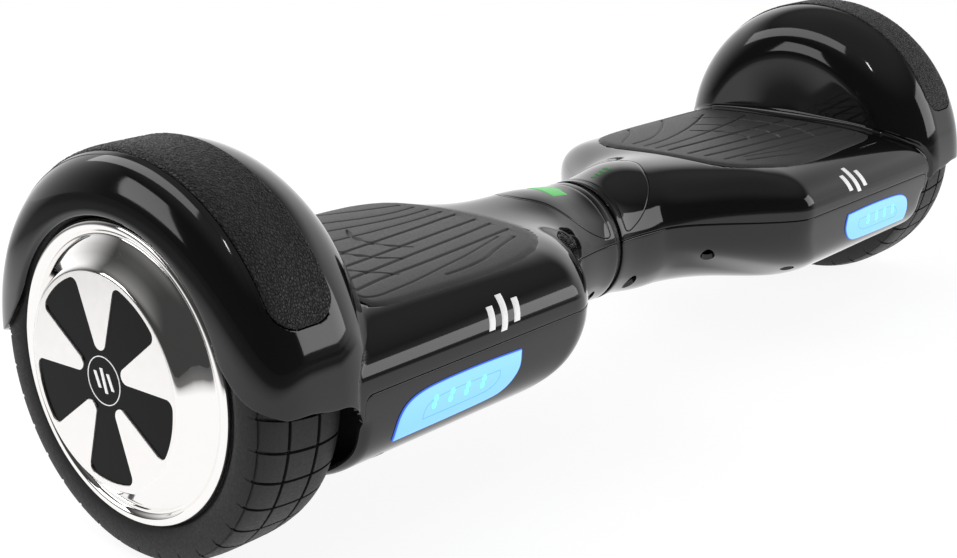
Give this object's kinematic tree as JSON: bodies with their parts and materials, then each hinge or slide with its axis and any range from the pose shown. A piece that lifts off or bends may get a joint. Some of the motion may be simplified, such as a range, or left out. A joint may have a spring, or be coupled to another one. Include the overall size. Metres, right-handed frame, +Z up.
{
  "type": "self balancing hoverboard",
  "caption": "Self balancing board: glossy black halves that twist at a round neck, with foot pads, arched fenders, hub-motor wheels with bright covers, and front lamps.",
  "frame": {"origin": "on the ground, midway between the two wheels, under the wheel axles", "axes": "+X along the board from the left half to the right half, -Y to the front where the lamps are, +Z up"},
  "size_m": [0.5832, 0.1868, 0.1779],
  "materials": {
    "shell_black": "high-gloss moulded black plastic",
    "strip_rubber": "leather-grain moulded rubber",
    "pad_rubber": "matte grooved rubber",
    "lamp_blue": "translucent ice-blue lens",
    "circuit_board": "green laminate with solder mask",
    "display_black": "deep gloss black",
    "tyre": "solid black rubber",
    "hub_alloy": "cast, lightly machined",
    "trim_chrome": "bright mirror plate",
    "inlay_black": "gloss black inlay",
    "steel": "ground steel",
    "magnet_steel": "nickel plated",
    "lamination_steel": "varnished laminations",
    "copper": "enamelled copper wire",
    "frame_alloy": "as cast",
    "dark_steel": "black oxide",
    "bronze": "sintered bronze",
    "seal_rubber": "soft black rubber",
    "battery_wrap": "blue shrink wrap",
    "port_metal": "nickel plated shell",
    "cap_rubber": "soft black rubber",
    "button_black": "satin black"
  },
  "bodies": {
    "left_half": {"left_upper_shell": "shell_black", "left_lower_shell": "shell_black", "left_fender_strip": "strip_rubber", "left_lamp_lens": "lamp_blue", "left_lamp_board": "circuit_board", "left_display_insert": "display_black", "left_stator": "lamination_steel", "left_windings": "copper", "left_axle": "steel", "left_chassis": "frame_alloy", "left_axle_cap": "frame_alloy", "left_clamp_bolts": "dark_steel", "left_sensor_board": "circuit_board", "left_shell_screws": "dark_steel", "pivot_tube": "steel", "retaining_ring": "dark_steel", "lock_pin": "steel", "neck_seal": "seal_rubber", "main_board": "circuit_board", "charge_port": "port_metal", "cap_bracket": "dark_steel"},
    "right_half": {"right_upper_shell": "shell_black", "right_lower_shell": "shell_black", "right_fender_strip": "strip_rubber", "right_lamp_lens": "lamp_blue", "right_lamp_board": "circuit_board", "right_display_insert": "display_black", "right_stator": "lamination_steel", "right_windings": "copper", "right_axle": "steel", "right_chassis": "frame_alloy", "right_axle_cap": "frame_alloy", "right_clamp_bolts": "dark_steel", "right_sensor_board": "circuit_board", "right_shell_screws": "dark_steel", "pivot_bushings": "bronze", "limit_pin": "steel", "battery_pack": "battery_wrap"},
    "left_wheel": {"left_tyre": "tyre", "left_wheel_rim": "hub_alloy", "left_wheel_trim": "trim_chrome", "left_star_inlay": "inlay_black", "left_wheel_badge": "inlay_black", "left_hub_cover": "hub_alloy", "left_rotor_ring": "steel", "left_magnets": "magnet_steel", "left_wheel_bearings": "steel"},
    "left_pad": {"left_foot_pad": "pad_rubber"},
    "right_wheel": {"right_tyre": "tyre", "right_wheel_rim": "hub_alloy", "right_wheel_trim": "trim_chrome", "right_star_inlay": "inlay_black", "right_wheel_badge": "inlay_black", "right_hub_cover": "hub_alloy", "right_rotor_ring": "steel", "right_magnets": "magnet_steel", "right_wheel_bearings": "steel"},
    "right_pad": {"right_foot_pad": "pad_rubber"},
    "cap": {"charge_cap": "cap_rubber"},
    "button": {"power_button": "button_black"}
  },
  "joints": [
    {"name": "centre_twist", "type": "hinge", "parent": "left_half", "child": "right_half", "pos_m": [0, 0, 0.074], "axis": [1, 0, 0], "range_deg": [-12, 12], "stiffness_Nm_per_rad": 4},
    {"name": "left_wheel_spin", "type": "hinge", "parent": "left_half", "child": "left_wheel", "pos_m": [-0.26, 0, 0.0839], "axis": [1, 0, 0], "continuous": true},
    {"name": "right_wheel_spin", "type": "hinge", "parent": "right_half", "child": "right_wheel", "pos_m": [0.26, 0, 0.0839], "axis": [1, 0, 0], "continuous": true},
    {"name": "left_pad_press", "type": "slide", "parent": "left_half", "child": "left_pad", "axis": [0, 0, -1], "range_m": [0, 0.0015], "stiffness_N_per_m": 20000},
    {"name": "right_pad_press", "type": "slide", "parent": "right_half", "child": "right_pad", "axis": [0, 0, -1], "range_m": [0, 0.0015], "stiffness_N_per_m": 20000},
    {"name": "charge_cap_hinge", "type": "hinge", "parent": "left_half", "child": "cap", "pos_m": [-0.15, 0.09195, 0.0754], "axis": [1, 0, 0], "range_deg": [0, 120]},
    {"name": "power_press", "type": "slide", "parent": "left_half", "child": "button", "axis": [0, -1, 0], "range_m": [0, 0.0015], "stiffness_N_per_m": 800}
  ]
}
